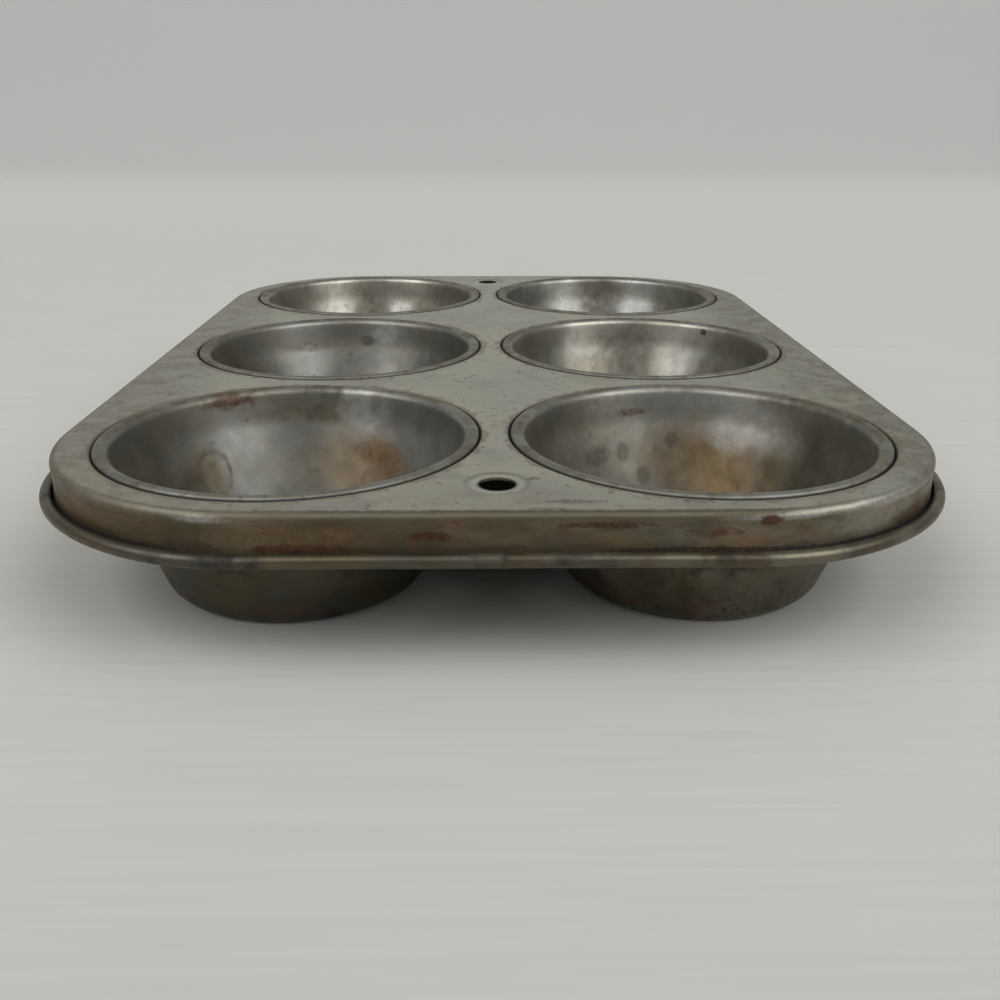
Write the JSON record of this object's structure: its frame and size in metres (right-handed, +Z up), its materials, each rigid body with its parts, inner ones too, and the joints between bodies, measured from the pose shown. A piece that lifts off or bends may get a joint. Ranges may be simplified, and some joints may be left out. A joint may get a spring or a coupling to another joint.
{
  "type": "muffin pan",
  "caption": "Shallow baking pan: round tapered cups locked into a flat plate with round corners, a short skirt, a rolled wired rim and a hanging hole at each end.",
  "frame": {"origin": "on the plane that the cup bottoms stand on, under the middle of the plate", "axes": "+X across the pan, +Y along it from the front row of cups to the back row, +Z up out of the cups"},
  "size_m": [0.18, 0.2568, 0.0308],
  "materials": {
    "plate_tin": "aged tin plate, worn and stained",
    "wire_steel": "drawn wire, dull",
    "cup_tin": "aged tin plate, bluish inside and baked brown outside"
  },
  "bodies": {
    "root": {"top_plate": "plate_tin", "rim_wire": "wire_steel", "cup_front_left": "cup_tin", "cup_front_right": "cup_tin", "cup_middle_left": "cup_tin", "cup_middle_right": "cup_tin", "cup_back_left": "cup_tin", "cup_back_right": "cup_tin"}
  },
  "joints": []
}
